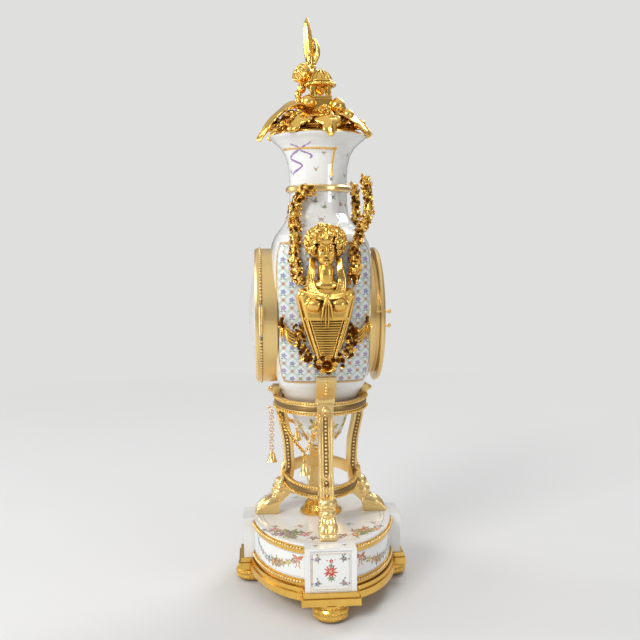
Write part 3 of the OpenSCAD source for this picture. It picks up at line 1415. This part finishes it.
hammer_y = strike_bell_y - plate_t / 2;
hammer_t = 1.4 * plate_t;
hammer_head_r = 0.06 * plate_r;
hammer_gap = 1.6 * hammer_head_r;
module hammer() {
    // The head stands off the bell's rim
    head = bell_place + polar(strike_bell_r + hammer_gap, -60) - hammer_place;
    color("silver") at(hammer_place) difference() {
        union() {
            pin_y(1.7 * stud_r, hammer_y, hammer_y + hammer_t);
            plate_y(hammer_y, hammer_y + hammer_t / 3) rotate(atan2(head[1], head[0]))
                translate([0, -0.7 * stud_r]) square([norm(head), 1.4 * stud_r]);
            translate([head[0], 0, head[1]]) pin_y(hammer_head_r, hammer_y, hammer_y + hammer_t);
        }
        bore_y(stud_r, hammer_y, hammer_y + hammer_t);
    }
}

// Straps that draw the bezel and the rear ring together
module movement_straps() {
    front = dial_back + seat_gap;
    back = rear_ring_back - seat_gap;
    color(steel) for (side = [-1, 1]) translate([side * strap_x, 0, dial_z]) {
        pin_y(strap_r, front, back);
        pin_y(strap_head_r, front, front + strap_head_h);
        pin_y(strap_head_r, back - strap_head_h, back);
    }
}

// Rear ring: a flange, a groove for the catch, a sleeve
rear_flange_r = opening_r + 0.6 * vase_wall;
rear_neck_r = opening_r - 0.1 * vase_wall;
groove_y = rear_ring_back - 0.36 * rear_ring_d;
groove_h = 0.2 * rear_ring_d;
groove_d = 0.25 * vase_wall;
module rear_ring() {
    flange_back = seat_y + 0.3 * rear_ring_d;
    color(gilt) up(dial_z) union() {
        difference() {
            turned_y([[sleeve_bore_r, -sleeve_back], [sleeve_r, -sleeve_back], [sleeve_r, seat_y],
                [rear_flange_r, seat_y], [rear_flange_r, flange_back], [rear_neck_r, flange_back],
                [rear_neck_r, groove_y - groove_h / 2], [rear_neck_r - groove_d, groove_y - groove_h / 2],
                [rear_neck_r - groove_d, groove_y + groove_h / 2], [rear_neck_r, groove_y + groove_h / 2],
                [rear_neck_r, rear_ring_back], [sleeve_bore_r, rear_ring_back]]);
            strap_holes(rear_ring_back, 1);
        }
        difference() {
            outer_knuckles(-hinge_x, rear_hinge_y, -(rear_neck_r - knuckle_r),
                [rear_ring_back - 0.05 * knuckle_r, rear_ring_back - 0.85 * knuckle_r]);
            pin_y(rear_neck_r - 0.5 * groove_d, seat_y, rear_ring_back + over);
        }
    }
}

// Rear door: a flange round a low dome
catch_x = rear_neck_r + 0.55 * (door_r - rear_neck_r);
catch_rise = 0.1 * bezel_r;
catch_r = 0.55 * knuckle_r;
rear_door_back = rear_door_front + rear_door_t;
module rear_door() {
    dome_r = 0.86 * bezel_r;
    wall = 0.45 * rear_door_t;
    color(gilt) up(dial_z) union() {
        difference() {
            union() {
                turned_y([[0, rear_door_back + rear_dome_rise - wall], [0.6 * dome_r,
                    rear_door_back + 0.62 * rear_dome_rise - wall], [dome_r - wall, rear_door_front],
                    [door_r, rear_door_front], [door_r, rear_door_back - wall],
                    [door_r - wall, rear_door_back], [dome_r, rear_door_back],
                    [0.6 * dome_r, rear_door_back + 0.62 * rear_dome_rise],
                    [0, rear_door_back + rear_dome_rise]]);
                middle_knuckle(-hinge_x, rear_hinge_y, -(door_r - knuckle_r),
                    [rear_door_front + 0.05 * knuckle_r, rear_door_front + 0.85 * knuckle_r]);
            }
            translate([catch_x, 0, catch_rise]) bore_y(catch_r, rear_door_front, rear_door_back);
        }
        translate([catch_x, rear_door_back, -catch_rise]) rotate([-90, 0, 0])
            turned(shaped(pull_shares, pull_r, pull_h));
    }
}
pull_shares = [[0, 0], [0.7, 0], [0.4, 0.3], [0.9, 0.6], [1, 0.8], [0.6, 1], [0, 1]];
pull_r = knuckle_r;
pull_h = 2.2 * knuckle_r;

// Catch: a pull on a spindle, its tongue turned up, clear of the groove
module rear_catch() {
    tongue_t = groove_h - 2 * seat_gap;
    tongue_l = catch_x - rear_neck_r + groove_d - 2 * seat_gap;
    color(gilt) translate([catch_x, 0, dial_z + catch_rise]) union() {
        pin_y(catch_r, groove_y - tongue_t / 2, rear_door_back + seat_gap);
        translate([0, rear_door_back + seat_gap, 0]) rotate([-90, 0, 0])
            turned(shaped(pull_shares, pull_r, pull_h));
        plate_y(groove_y - tongue_t / 2, groove_y + tongue_t / 2)
            translate([-catch_r, 0]) square([2 * catch_r, tongue_l]);
    }
}

foot_front();
foot_back();
foot_left();
foot_right();
plinth_frame();
base_porcelain();
base_bead_bands();
base_boss();
base_bolts();
stand_upper_ring();
stand_lower_ring();
leg_front();
leg_back();
leg_left();
leg_right();
leg_rosettes();
body_cradle();
chain_front();
bell_front();
swag_chain_left();
swag_chain_right();
bell_left();
bell_right();
vase_body();
lower_bulb();
bulb_knob();
neck_ring();
lid_cap();
finial_fixings();
finial_torch();
finial_hat();
finial_flowers();
figure_left();
figure_right();
garland_left();
garland_right();
body_swags();
bezel_housing();
bezel_door();
dial_glass();
hinge_pins();
dial();
hour_hand();
minute_hand();
rear_ring();
rear_door();
rear_catch();
front_plate();
back_plate();
going_barrel();
strike_barrel();
centre_wheel();
third_wheel();
escape_wheel();
anchor();
pendulum();
minute_wheel();
strike_bell();
hammer();
movement_straps();
